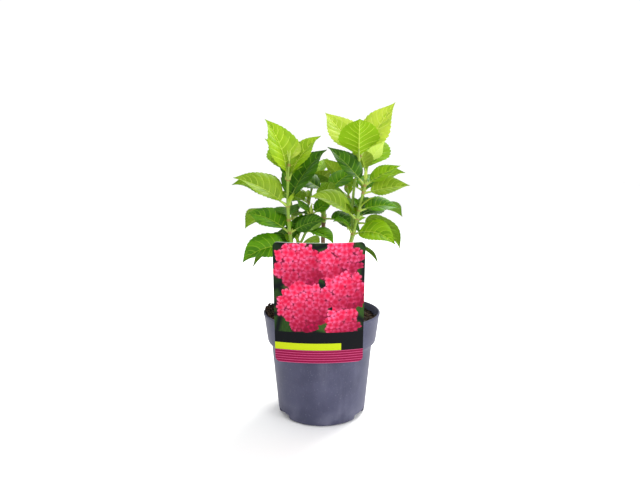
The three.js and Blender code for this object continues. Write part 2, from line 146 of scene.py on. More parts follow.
def lathed(rings, sides):
    """Draws a disc up through rings of (radius, height), in millimetres, as one closed solid."""
    radius, height = rings[0]
    bpy.ops.object.select_all(action="DESELECT")
    bpy.ops.mesh.primitive_circle_add(
        vertices=sides, radius=radius * MM, fill_type="NGON", location=(0, 0, height * MM))
    bpy.ops.object.mode_set(mode="EDIT")
    bpy.ops.mesh.select_all(action="SELECT")
    for next_radius, next_height in rings[1:]:
        climb = (0.0, 0.0, (next_height - height) * MM)
        scale = next_radius / radius
        bpy.ops.mesh.extrude_region_move(TRANSFORM_OT_translate={"value": climb})
        bpy.ops.transform.resize(value=(scale, scale, 1.0), center_override=(0, 0, next_height * MM))
        radius, height = next_radius, next_height
    bpy.ops.mesh.select_all(action="SELECT")
    bpy.ops.mesh.normals_make_consistent(inside=False)
    bpy.ops.object.mode_set(mode="OBJECT")
    return bpy.context.object


def settled(piece):
    """Puts a piece's place, turn and size into its mesh."""
    bpy.ops.object.select_all(action="DESELECT")
    piece.select_set(True)
    bpy.context.view_layer.objects.active = piece
    bpy.ops.object.transform_apply(location=True, rotation=True, scale=True)
    return piece


def finished(piece, kind, **settings):
    """Adds one modifier, sets it and applies it."""
    bpy.context.view_layer.objects.active = piece
    modifier = piece.modifiers.new(kind.lower(), kind)
    for name, value in settings.items():
        setattr(modifier, name, value)
    bpy.ops.object.modifier_apply(modifier=modifier.name)
    return piece


def smoothed(piece, degrees):
    """Shades a piece smooth across all edges but the sharper ones."""
    bpy.ops.object.select_all(action="DESELECT")
    piece.select_set(True)
    bpy.context.view_layer.objects.active = piece
    bpy.ops.object.shade_smooth_by_angle(angle=math.radians(degrees))
    return piece


# The outline of the pot, from the edge of its foot up the outside, over the rim and down the inside
outer = [(BASE_RADIUS - 3.0, 0.0), (BASE_RADIUS - 1.2, 0.6), (BASE_RADIUS - 0.2, 1.8)]
outer += [(body_radius(z), z) for z in (4.0, 20.0, 40.0, 60.0, NECK - 1.0)]
outer += [(NECK_RADIUS + 0.3, NECK + 1.8), (NECK_RADIUS + 1.3, NECK + 4.2), (NECK_RADIUS + 2.9, NECK + 5.6)]
outer += [(COLLAR_RADIUS - 0.6, COLLAR_FOOT - 0.5), (COLLAR_RADIUS, COLLAR_FOOT + 0.7)]
outer += [(collar_radius(z), z) for z in (90.0, 100.0, POT_HEIGHT - 2.6)]
outer += [(RIM_RADIUS + 0.35, POT_HEIGHT - 2.0), (RIM_RADIUS + 0.35, POT_HEIGHT - 0.7)]
rim = [(RIM_RADIUS - 0.3, POT_HEIGHT), (RIM_RADIUS - 1.3, POT_HEIGHT)]
rim += [(RIM_RADIUS - WALL - 0.1, POT_HEIGHT - 0.6)]
inner = [(collar_radius(z) - WALL, z) for z in (105.0, 95.0, COLLAR_FOOT + 1.5)]
inner += [(NECK_RADIUS + 1.0, NECK + 6.4), (NECK_RADIUS - WALL, NECK)]
inner += [(body_radius(z) - WALL, z) for z in (40.0, POT_FLOOR + FLOOR_ROUND)]
inner += [(body_radius(POT_FLOOR) - WALL - 2.6, POT_FLOOR)]
pot = lathed(outer + rim + inner, POT_SIDES)
pot.name = "nursery_pot"
settled(pot)

# A notch through the foot and a hole through the floor, three times round
notch_size = (NOTCH_DEPTH * MM, NOTCH_WIDTH * MM, 2.0 * NOTCH_HEIGHT * MM, 1.0)
for turn in NOTCH_TURNS:
    bpy.ops.object.select_all(action="DESELECT")
    bpy.ops.mesh.primitive_cube_add(size=1.0, location=(0, 0, 0))
    notch = bpy.context.object
    notch.data.transform(Matrix.Diagonal(notch_size))
    finished(notch, "BEVEL", width=NOTCH_ROUND * MM, segments=3)
    notch.data.transform(Matrix.Translation((NOTCH_PLACE * MM, 0.0, 0.0)))
    bpy.ops.mesh.primitive_cylinder_add(
        vertices=24, radius=DRAIN_RADIUS * MM, depth=DRAIN_LENGTH * MM, location=(DRAIN_PLACE * MM, 0, 0))
    drain = settled(bpy.context.object)
    for cutter in (notch, drain):
        cutter.data.transform(Matrix.Rotation(math.radians(turn), 4, "Z"))
        finished(pot, "BOOLEAN", operation="DIFFERENCE", solver="EXACT", object=cutter)
        bpy.data.objects.remove(cutter)
smoothed(pot, 32)


def linear(red, green, blue):
    """A colour as a screen shows it, 0 to 255, in the linear values that a shader takes."""
    parts = [value / 255.0 for value in (red, green, blue)]
    return tuple(p / 12.92 if p <= 0.04045 else ((p + 0.055) / 1.055) ** 2.4 for p in parts) + (1.0,)


class Wire:
    """One output in a finish, so that sums on a surface are written as sums."""

    def __init__(self, finish, socket):
        self.finish = finish
        self.socket = socket

    def math(self, operation, *others):
        values = dict(enumerate((self, *others)))
        return self.finish.node("ShaderNodeMath", {"operation": operation}, values)

    def __add__(self, other):
        return self.math("ADD", other)

    def __sub__(self, other):
        return self.math("SUBTRACT", other)

    def __mul__(self, other):
        return self.math("MULTIPLY", other)

    def __truediv__(self, other):
        return self.math("DIVIDE", other)

    def __pow__(self, other):
        return self.math("POWER", other)

    def __lt__(self, other):
        return self.math("LESS_THAN", other)

    def __gt__(self, other):
        return self.math("GREATER_THAN", other)

    def __rsub__(self, other):
        return self.finish.node("ShaderNodeMath", {"operation": "SUBTRACT"}, {0: other, 1: self})

    __radd__ = __add__
    __rmul__ = __mul__

    def held(self):
        """The value, kept between 0 and 1."""
        return self.math("MAXIMUM", 0.0).math("MINIMUM", 1.0)

    def between(self, low, high):
        """0 at low and below, 1 at high and above, with a soft step."""
        settings = {"interpolation_type": "SMOOTHSTEP"}
        sockets = {"Value": self, "From Min": low, "From Max": high}
        return self.finish.node("ShaderNodeMapRange", settings, sockets)


class Finish:
    """A material whose nodes are all added by one method, a few of them through the ones below it."""

    def __init__(self, name, roughness, colour=(0.5, 0.5, 0.5, 1.0), **sockets):
        self.material = bpy.data.materials.new(name)
        self.material.use_nodes = True
        self.tree = self.material.node_tree
        self.shader = self.tree.nodes["Principled BSDF"]
        self.shader.inputs["Roughness"].default_value = roughness
        self.shader.inputs["Base Color"].default_value = colour
        for key, value in sockets.items():
            self.shader.inputs[key.replace("_", " ")].default_value = value

    def node(self, kind, settings, sockets, output=0):
        """Adds a node. Its settings are set first, then each socket gets its value or its link."""
        made = self.tree.nodes.new(kind)
        for key, value in settings.items():
            setattr(made, key, value)
        for key, value in sockets.items():
            if isinstance(value, Wire):
                self.tree.links.new(value.socket, made.inputs[key])
            else:
                made.inputs[key].default_value = value
        return Wire(self, made.outputs[output])

    def place(self):
        """Where a point is on the piece, in metres."""
        return self.node("ShaderNodeTexCoord", {}, {}, "Object")

    def stretched(self, vector, scale):
        """A place with each of its three measures multiplied."""
        return self.node("ShaderNodeMapping", {}, {"Vector": vector, "Scale": scale})

    def cloud(self, vector, scale, detail=3.0, roughness=0.5):
        """Soft noise, about 0.5 on average."""
        sockets = {"Vector": vector, "Scale": scale, "Detail": detail, "Roughness": roughness}
        return self.node("ShaderNodeTexNoise", {}, sockets)

    def mixed(self, factor, below, above):
        """The colour below where the factor is 0, and the colour above where it is 1.

        Sockets 6 and 7 and output 2 are the node's own for colours.
        """
        sockets = {0: factor, 6: below, 7: above}
        return self.node("ShaderNodeMix", {"data_type": "RGBA"}, sockets, 2)

    def split(self, vector):
        return [self.node("ShaderNodeSeparateXYZ", {}, {"Vector": vector}, axis) for axis in range(3)]

    def feed(self, socket, wire):
        self.tree.links.new(wire.socket, self.shader.inputs[socket])

    def relief(self, height, depth, strength=1.0):
        bump = self.node("ShaderNodeBump", {}, {"Height": height, "Distance": depth, "Strength": strength})
        self.feed("Normal", bump)


slate = Finish("slate_plastic", 0.46, Specular_IOR_Level=0.14)
where = slate.place()
_, _, height = slate.split(where)
runs = slate.cloud(slate.stretched(where, (60.0, 60.0, 7.0)), 1.0, 4.0, 0.6)
blotch = slate.cloud(where, 38.0, 3.0)
speck = slate.cloud(where, 900.0, 2.0)
scuff = slate.cloud(slate.stretched(where, (240.0, 240.0, 36.0)), 1.0, 5.0, 0.7).between(0.62, 0.74)
dust = (1.0 - height.between(0.0, 0.03)) * blotch.between(0.42, 0.7) * 0.5 + runs.between(0.5, 0.8) * 0.22
plain = slate.mixed(blotch.between(0.3, 0.7), linear(66, 67, 88), linear(76, 77, 99))
dusty = slate.mixed((dust + scuff * 0.16).held(), plain, linear(112, 112, 130))
slate.feed("Base Color", slate.mixed(speck.between(0.66, 0.72) * 0.3, dusty, linear(150, 150, 162)))
slate.feed("Roughness", blotch * 0.12 + dust * 0.3 + scuff * 0.1 + 0.4)
slate.relief(speck * 0.3 + runs * 0.5, 0.00012)
pot.data.materials.append(slate.material)
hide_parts("pot")
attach(pot, "root")

# Soil
# Dark brown peat that fills the pot to just under its rim and is heaped against it on the left. Its
# top is loose: crumbs of peat, slivers of bark and fibres lie on it.
CLEARANCE = 0.3
SOIL_TOP = 107.0
SOIL_RINGS = 64
SOIL_SIDES = 192
SOIL_GAP = 0.2
SOIL_HEEL = 3.0
SOIL_BUMP = 1.6
HEAP_HEIGHT = 11.0
HEAP_TURN = 185
HEAP_START = 38.0
HEAP_RUN = 25.0
CALM_RADIUS = 8.0
STEM_FOOT = (0.0, 5.0, SOIL_TOP + CLEARANCE)
STEM_MOUND = 2.2
STEM_MOUND_REACH = 9.0
LUMP_RELIEF = 0.9
LUMP_SCALE = 0.16
GRAIN_RELIEF = 1.1
GRAIN_SCALE = 0.55
ROUGH_DROP = 0.5
PEAT_GLOSS = 0.2


def soil_top(x, y):
    """The height of the soil over a place, by the rule of the part's source."""
    turn = math.atan2(y, x) - math.radians(HEAP_TURN)
    away = math.hypot(x - STEM_FOOT[0], y - STEM_FOOT[1])
    calm = min(1.0, max(0.0, (away - CALM_RADIUS) / CALM_RADIUS))
    waves = math.sin(x * 0.31 + 1.3) * math.cos(y * 0.27 - 0.6) + 0.6 * math.sin(x * 0.13 - y * 0.19)
    outward = max(0.0, (math.hypot(x, y) - HEAP_START) / HEAP_RUN)
    heap = max(0.0, math.cos(turn)) ** 3 * outward ** 2
    return SOIL_TOP + calm * (SOIL_BUMP * waves + HEAP_HEIGHT * heap)


def loose_top(x, y):
    """The same height, roughened by crumbs and drawn up a little round the stem."""
    spot = Vector((x, y, 0.0))
    lumps = noise.fractal(spot * LUMP_SCALE, 0.7, 2.2, 5) * LUMP_RELIEF
    rough = lumps + abs(noise.noise(spot * GRAIN_SCALE)) * GRAIN_RELIEF
    away = math.hypot(x - STEM_FOOT[0], y - STEM_FOOT[1])
    mound = STEM_MOUND * math.exp(-((away / STEM_MOUND_REACH) ** 2))
    return soil_top(x, y) + rough + mound - ROUGH_DROP


class Skins:
    """Many closed skins, each lofted through rings of points in millimetres, made into one piece."""

    def __init__(self):
        self.points = []
        self.faces = []
        self.shades = []

    def loft(self, rings, shade=lambda row, column: 0):
        """Adds one skin, closed at both ends. shade picks the material of each face."""
        start = len(self.points)
        count = len(rings[0])
        for ring in rings:
            self.points.extend(ring)
        for row in range(len(rings) - 1):
            for column in range(count):
                a = start + row * count + column
                b = start + row * count + (column + 1) % count
                self.faces.append((a, b, b + count, a + count))
                self.shades.append(shade(row, column))
        last = start + (len(rings) - 1) * count
        self.faces.append(tuple(range(start, start + count)))
        self.faces.append(tuple(range(last, last + count)))
        self.shades.extend((shade(0, 0), shade(len(rings) - 2, 0)))

    def piece(self, name, materials, degrees):
        """All the skins as one object, with its faces turned outwards."""
        mesh = bpy.data.meshes.new(name)
        mesh.from_pydata([(px * MM, py * MM, pz * MM) for px, py, pz in self.points], [], self.faces)
        for material in materials:
            mesh.materials.append(material)
        mesh.polygons.foreach_set("material_index", self.shades)
        shell = bmesh.new()
        shell.from_mesh(mesh)
        bmesh.ops.recalc_face_normals(shell, faces=shell.faces)
        shell.to_mesh(mesh)
        shell.free()
        made = bpy.data.objects.new(name, mesh)
        bpy.context.collection.objects.link(made)
        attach(made, "root")
        return smoothed(made, degrees)


def circle(radius, height, sides, shift=(0.0, 0.0)):
    """A level ring of points."""
    turns = [2.0 * math.pi * j / sides for j in range(sides)]
    return [(shift[0] + radius * math.cos(a), shift[1] + radius * math.sin(a), height) for a in turns]


top_radius = collar_radius(SOIL_TOP) - WALL - SOIL_GAP
soil_skin = Skins()
heel_radius = body_radius(POT_FLOOR + 1.0) - WALL - SOIL_HEEL
soil_rings = [circle(heel_radius, POT_FLOOR + CLEARANCE, SOIL_SIDES)]
for level in (POT_FLOOR + FLOOR_ROUND + 1.0, NECK):
    soil_rings.append(circle(body_radius(level) - WALL - SOIL_GAP, level, SOIL_SIDES))
soil_rings.append(circle(COLLAR_RADIUS - WALL - CLEARANCE, COLLAR_FOOT + 2.0, SOIL_SIDES))
for step in range(SOIL_RINGS, 0, -1):
    share = step / SOIL_RINGS
    shift = (STEM_FOOT[0] * (1.0 - share), STEM_FOOT[1] * (1.0 - share))
    ring = circle(top_radius * share, 0.0, SOIL_SIDES, shift)
    soil_rings.append([(px, py, loose_top(px, py)) for px, py, _ in ring])
soil_skin.loft(soil_rings)
peat = Finish("moist_peat", 0.92, Specular_IOR_Level=PEAT_GLOSS)
where = peat.place()
grain = peat.cloud(where, 420.0, 6.0, 0.7)
clod = peat.cloud(where, 90.0, 4.0)
fibre = peat.cloud(peat.stretched(where, (900.0, 260.0, 900.0)), 1.0, 3.0, 0.6)
dark = peat.mixed(grain.between(0.35, 0.65), linear(26, 20, 15), linear(54, 42, 30))
warm = peat.mixed(clod.between(0.45, 0.75) * 0.7, dark, linear(78, 56, 36))
peat.feed("Base Color", peat.mixed(fibre.between(0.66, 0.72) * 0.6, warm, linear(148, 118, 80)))
peat.feed("Roughness", grain * 0.15 + 0.82)
peat.relief(grain * 0.7 + clod * 0.3, 0.0012)
soil = soil_skin.piece("peat_soil", [peat.material], 60)
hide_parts("soil")

# The loose pieces on top, each a rough ball of a few faces. A draw below the first limit gives a crumb,
# one below the second a sliver of bark, and any other a fibre. Slivers and fibres lie less far out.
CRUMB_COUNT = 1500
CRUMB_LIMIT = 0.8
SLIVER_LIMIT = 0.94
SLIVER_REACH = 0.93
FIBRE_REACH = 0.9
CRUMB_LEVELS = (-0.9, -0.35, 0.35, 0.9)
CRUMB_CORNERS = 6
SPILLED_COUNT = 120
SPILL_TURN = 176.0
SPILL_SPREAD = 12.0
SPILL_START = 54.0
RIM_INSIDE = 61.0
CRUMB_LOOKS = (
    ("dark_crumb", 0.95, (30, 22, 17)), ("brown_crumb", 0.95, (54, 39, 28)),
    ("bark_sliver", 0.85, (92, 62, 38)), ("pale_fibre", 0.9, (146, 118, 80)))
DARK, BROWN, SLIVER, FIBRE = range(len(CRUMB_LOOKS))
CRUMB_SHADES = (DARK, DARK, BROWN)
crumbs = Skins()
deal = random.Random(7)


def crumb_at(px, py, rest, long_side, flatness, shade):
    """One loose piece, sunk by about a third below the height it rests at."""
    yaw, tip = deal.uniform(0, math.tau), deal.uniform(-0.5, 0.5)
    turn = Matrix.Rotation(yaw, 3, "Z") @ Matrix.Rotation(tip, 3, "X")
    thick = long_side * flatness
    middle = Vector((px, py, rest + thick * 0.2))
    half = Vector((long_side * 0.5, thick * deal.uniform(0.5, 0.9), thick * 0.5))
    rings = []
    for level in CRUMB_LEVELS:
        reach = math.sqrt(1.0 - level * level)
        ring = []
        for j in range(CRUMB_CORNERS):
            a = math.tau * j / CRUMB_CORNERS + level
            wide = reach * deal.uniform(0.7, 1.15)
            corner = Vector((level * half.x, wide * math.cos(a) * half.y, wide * math.sin(a) * half.z))
            ring.append(tuple(middle + turn @ corner))
        rings.append(ring)
    crumbs.loft(rings, lambda row, column: shade)


# Pieces strewn evenly over the whole top
for _ in range(CRUMB_COUNT):
    turn, share = deal.uniform(0, math.tau), math.sqrt(deal.uniform(0.01, 0.985))
    px, py = top_radius * share * math.cos(turn), top_radius * share * math.sin(turn)
    kind = deal.random()
    if kind < CRUMB_LIMIT:
        look = (deal.uniform(0.8, 3.4), deal.uniform(0.4, 0.8), deal.choice(CRUMB_SHADES))
    elif kind < SLIVER_LIMIT:
        px, py = px * SLIVER_REACH, py * SLIVER_REACH
        look = (deal.uniform(3.0, 7.5), deal.uniform(0.1, 0.2), SLIVER)
    else:
        px, py = px * FIBRE_REACH, py * FIBRE_REACH
        look = (deal.uniform(6.0, 13.0), 0.05, FIBRE)
    crumb_at(px, py, loose_top(px, py), *look)

# Some crumbs of the heap have spilled onto the rim
for _ in range(SPILLED_COUNT):
    turn = math.radians(deal.gauss(SPILL_TURN, SPILL_SPREAD))
    radius = deal.uniform(SPILL_START, RIM_RADIUS - 1.0)
    px, py = radius * math.cos(turn), radius * math.sin(turn)
    rest = loose_top(px, py)
    if radius > RIM_INSIDE:
        rest = min(rest, POT_HEIGHT + deal.uniform(0.3, 3.0))
    crumb_at(px, py, rest, deal.uniform(1.5, 4.0), deal.uniform(0.5, 0.8), deal.choice(CRUMB_SHADES))
crumb_finishes = []
for name, roughness, colour in CRUMB_LOOKS:
    crumb_finish = Finish(name, roughness, linear(*colour), Specular_IOR_Level=PEAT_GLOSS)
    crumb_finishes.append(crumb_finish.material)
loose_soil = crumbs.piece("soil_crumbs", crumb_finishes, 35)

# Label
# A bowed plastic card, printed on its front and bare white behind. It leans outward off the collar of
# the pot, held by a tongue that hooks over the rim. The print is pink mophead blooms.
LABEL_WIDTH = 90.0
LABEL_LENGTH = 129.0
LABEL_THICK = 0.8
LABEL_CORNER = 5.0
LABEL_STRIPS = 30
LABEL_BOW_RADIUS = 200.0
LABEL_LEAN = math.radians(9.5)
LABEL_FOOT = 75.5
LABEL_REST = 84.0
LABEL_SHIFT = -3.0
LABEL_GAP = 0.5
card_shift = -(COLLAR_RADIUS + LABEL_GAP) + (LABEL_REST - LABEL_FOOT) * math.tan(LABEL_LEAN)

bpy.ops.object.select_all(action="DESELECT")
bpy.ops.mesh.primitive_plane_add(size=1.0, location=(0, 0, 0))
card = bpy.context.object
card.name = "picture_label"
bpy.ops.object.mode_set(mode="EDIT")
bpy.ops.mesh.select_all(action="SELECT")
bpy.ops.transform.resize(value=(LABEL_WIDTH * MM, LABEL_LENGTH * MM, 1.0))
bpy.ops.mesh.bevel(offset=LABEL_CORNER * MM, segments=8, affect="VERTICES")
for column in range(1, LABEL_STRIPS):
    cut = (column / LABEL_STRIPS - 0.5) * LABEL_WIDTH * MM
    bpy.ops.mesh.select_all(action="SELECT")
    bpy.ops.mesh.bisect(plane_co=(cut, 0, 0), plane_no=(1, 0, 0))
bpy.ops.object.mode_set(mode="OBJECT")
print_map = card.data.uv_layers.active or card.data.uv_layers.new(name="print")
for loop in card.data.loops:
    at = card.data.vertices[loop.vertex_index].co
    print_map.data[loop.index].uv = (at.x / (LABEL_WIDTH * MM) + 0.5, at.y / (LABEL_LENGTH * MM) + 0.5)
for vertex in card.data.vertices:
    across, along = vertex.co.x / MM, vertex.co.y / MM + LABEL_LENGTH / 2
    bow = across * across / (2.0 * LABEL_BOW_RADIUS)
    vertex.co = (across * MM, (bow - LABEL_THICK) * MM, along * MM)
card.data.update()

# The print, measured from the card's lower left corner. A bloom is its middle and its reach. A layer of
# florets is its shift, the size of its cells, how far a petal reaches, and how deep its shadows are.
BLOOMS = (
    (24.0, 104.0, 24.0), (66.0, 110.0, 21.0), (71.0, 78.0, 21.0), (31.0, 63.0, 26.0), (69.0, 46.0, 17.0))
FLORET_LAYERS = (((3.0, 1.0, 0.0), 6.2, 5.2, 1.0), ((31.0, 17.0, 0.0), 7.0, 5.0, 0.25))
BAND_TOP = 34.5
BAR_TOP = 22.2
BAR_FOOT = 14.6
BAR_END = 67.5
STRIPES_TOP = BAR_FOOT - 0.4
STRIPE_STEP = 2.75
STRIPE_SHARE = 0.16
LEAF_SCALE = 0.055


def printed_card():
    """The gloss print: blooms over dark leaves, then a plain dark band, a bar and a striped band."""
    card_print = Finish("label_print", 0.36, Specular_IOR_Level=0.1)
    flat = card_print.node("ShaderNodeUVMap", {"uv_map": print_map.name}, {})
    sheet = card_print.stretched(flat, (LABEL_WIDTH, LABEL_LENGTH, 1.0))
    u, v, _ = card_print.split(sheet)

    def florets(shift, cell, petal_reach):
        """Four-petalled flowers: 1 inside a petal, a tone that rises to its tip, a share that is drawn
        for each flower, and the flower's middle."""
        moved = card_print.node("ShaderNodeVectorMath", {"operation": "ADD"}, {0: sheet, 1: shift})
        settings = {"voronoi_dimensions": "2D", "feature": "F1"}
        sockets = {"Vector": moved, "Scale": 1.0 / cell, "Randomness": 0.75}
        middle = card_print.node("ShaderNodeTexVoronoi", settings, sockets, "Position")
        own = card_print.node("ShaderNodeTexVoronoi", settings, sockets, "Color")
        offset = card_print.node("ShaderNodeVectorMath", {"operation": "SUBTRACT"}, {0: moved, 1: middle})
        dx, dy, _ = card_print.split(offset)
        share, spin, _ = card_print.split(own)
        away = (dx * dx + dy * dy) ** 0.5

        # A cosine of twice the angle, without its sign, has four crests round the middle: the petals
        angle = dy.math("ARCTAN2", dx) * 2.0 + spin * 3.0
        reach = angle.math("COSINE").math("ABSOLUTE") ** 0.55 * (petal_reach * 0.55) + petal_reach * 0.42
        inside = (reach - away) / (petal_reach * 0.22)
        centre = card_print.node("ShaderNodeVectorMath", {"operation": "SUBTRACT"}, {0: middle, 1: shift})
        return inside.held(), away * reach / petal_reach ** 2, share, centre

    def bloomed(centre):
        """1 where a floret's middle lies in a mophead, and how near it is to the mophead's lit side."""
        cx, cy, _ = card_print.split(centre)
        inside, light = None, None
        for bx, by, reach in BLOOMS:
            ex, ey = (cx - bx) / reach, (cy - by) / reach
            near = (ex * ex + ey * ey) ** 0.5 < 1.0
            glow = (ey * 0.55 - ex * 0.3 + 0.55) * near
            inside = near if inside is None else inside.math("MAXIMUM", near)
            light = glow if light is None else light.math("MAXIMUM", glow)
        return inside, light.held()

    leaf_cell = card_print.node(
        "ShaderNodeTexVoronoi", {"voronoi_dimensions": "2D", "feature": "DISTANCE_TO_EDGE"},
        {"Vector": sheet, "Scale": LEAF_SCALE, "Randomness": 1.0})
    own_sockets = {"Vector": sheet, "Scale": LEAF_SCALE}
    leaf_own = card_print.node("ShaderNodeTexVoronoi", {"voronoi_dimensions": "2D"}, own_sockets, "Color")
    leaf_share, _, _ = card_print.split(leaf_own)
    rib = card_print.cloud(card_print.stretched(sheet, (0.9, 0.16, 1.0)), 1.0, 2.0)
    shaded = (leaf_cell.between(0.02, 0.3) * (leaf_share * 0.8 + 0.2) * (rib + 0.4)).held()
    colour = card_print.mixed(shaded, linear(5, 12, 12), linear(48, 82, 26))
    for shift, cell, petal_reach, depth in FLORET_LAYERS:
        petal, tip, share, centre = florets(shift, cell, petal_reach)
        inside, light = bloomed(centre)
        deep = card_print.mixed(light, linear(118, 2, 38), linear(216, 10, 62))
        edge = card_print.mixed(light, linear(172, 14, 70), linear(246, 116, 162))
        tone = card_print.mixed((tip.between(0.0, 0.9) * (share * 0.9 + 0.25)).held(), deep, edge)
        shadow = card_print.mixed(inside * (1.0 - petal) * depth, colour, linear(112, 6, 44))
        colour = card_print.mixed(petal * inside, shadow, tone)
    band = v < BAND_TOP
    colour = card_print.mixed(band, colour, linear(5, 8, 13))
    bar = (v < BAR_TOP) * (v > BAR_FOOT) * (u < BAR_END)
    colour = card_print.mixed(bar, colour, linear(178, 194, 18))
    stripe = (v / STRIPE_STEP).math("FRACT") < STRIPE_SHARE
    striped = card_print.mixed(stripe, linear(126, 10, 58), linear(206, 84, 130))
    colour = card_print.mixed(v < STRIPES_TOP, colour, striped)
    card_print.feed("Base Color", colour)
    grain = card_print.cloud(card_print.place(), 700.0, 2.0)
    card_print.feed("Roughness", grain * 0.08 + 0.32)
    card_print.relief(grain, 0.00004)
    return card_print.material


bare_card = Finish("bare_card", 0.4, linear(226, 228, 224))
bare_where = bare_card.place()
bare_tone = bare_card.cloud(bare_where, 30.0, 3.0)
bare_card.feed("Base Color", bare_card.mixed(bare_tone, linear(216, 219, 214), linear(236, 237, 233)))
bare_card.feed("Roughness", bare_tone * 0.1 + 0.36)
card.data.materials.append(printed_card())
card.data.materials.append(bare_card.material)
finished(
    card, "SOLIDIFY", thickness=LABEL_THICK * MM, offset=-1.0, material_offset=1, material_offset_rim=1)
card.data.transform(Matrix.Rotation(LABEL_LEAN, 4, "X"))
card.data.transform(Matrix.Translation((LABEL_SHIFT * MM, card_shift * MM, LABEL_FOOT * MM)))

# The tongue is a strip of the same plastic, folded over the rim and down behind it
TONGUE_WIDTH = 16.0
TONGUE_LIFT = 0.7
TONGUE_SWING = 3.0
TONGUE_DROP = 23.0
TONGUE_ROUND = 0.25
tongue_outer = -(COLLAR_RADIUS + (POT_HEIGHT + 1.0 - LABEL_REST) * math.tan(LABEL_LEAN) + 0.6)
tongue_inner = -(RIM_RADIUS - WALL - 2.0)
bpy.ops.object.select_all(action="DESELECT")
bpy.ops.mesh.primitive_plane_add(size=1.0, location=(0, 0, 0))
tongue = bpy.context.object
bpy.ops.object.mode_set(mode="EDIT")
bpy.ops.mesh.select_all(action="SELECT")
bpy.ops.transform.resize(value=(TONGUE_WIDTH * MM, (tongue_inner - tongue_outer) * MM, 1.0))
tongue_middle = (tongue_inner + tongue_outer) / 2
tongue_place = (LABEL_SHIFT * MM, tongue_middle * MM, (POT_HEIGHT + TONGUE_LIFT) * MM)
bpy.ops.transform.translate(value=tongue_place)
bpy.ops.object.mode_set(mode="OBJECT")

# Its inner edge alone is selected, and drawn down into the pot
for edge in tongue.data.edges:
    ends = [tongue.data.vertices[index].co.y for index in edge.vertices]
    edge.select = min(ends) > tongue_middle * MM
for corner in tongue.data.vertices:
    corner.select = corner.co.y > tongue_middle * MM
for side in tongue.data.polygons:
    side.select = False
bpy.ops.object.mode_set(mode="EDIT")
bpy.ops.mesh.select_mode(type="EDGE")
tongue_fold = (0.0, TONGUE_SWING * MM, -TONGUE_DROP * MM)
bpy.ops.mesh.extrude_region_move(TRANSFORM_OT_translate={"value": tongue_fold})
bpy.ops.mesh.select_mode(type="VERT")
bpy.ops.object.mode_set(mode="OBJECT")
settled(tongue)
finished(tongue, "SOLIDIFY", thickness=LABEL_THICK * MM, offset=0.0)
finished(tongue, "BEVEL", width=TONGUE_ROUND * MM, segments=2)
tongue.data.materials.clear()
tongue.data.materials.append(bare_card.material)
bpy.ops.object.select_all(action="DESELECT")
tongue.select_set(True)
card.select_set(True)
bpy.context.view_layer.objects.active = card
bpy.ops.object.join()
smoothed(card, 35)
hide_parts("label")
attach(card, "root")

# Woody stem and boughs
# Last year's wood: a short brown stem that forks at once into five boughs. The bark is thin, with
# fine ridges that flake, and pairs of old leaf scars stand out like knuckles.
STEM_TOP = (1.0, 6.0, 125.0)
STEM_RADII = (6.2, 4.6, 4.1, 4.3, 3.8)
STEM_STEPS = 40
STEM_SIDES = 36
STEM_SINK = 1.0
STEM_UPRIGHT = 0.14
STEM_BARK_RUN = 18.0
BOUGH_RADII = (2.7, 2.4, 2.5, 2.3)
BOUGH_STEPS = 70
BOUGH_SIDES = 24
BOUGH_SWING = 0.35
BOUGH_OVERRUN = 0.8
BOUGH_RISE = 9.0
RIDGE_HEIGHT = 0.22
RIDGE_SCALE = (2.2, 0.09)
FLAKE_HEIGHT = 0.16
FLAKE_SCALE = (5.0, 0.3)
SCAR_HEIGHT = 0.55
SCAR_WIDTH = 1.5
SCAR_SPACING = 15.0
BOUGH_HEIGHTS = {"front_left": 117, "front_right": 119, "centre": 122, "back_left": 118, "back_right": 116}

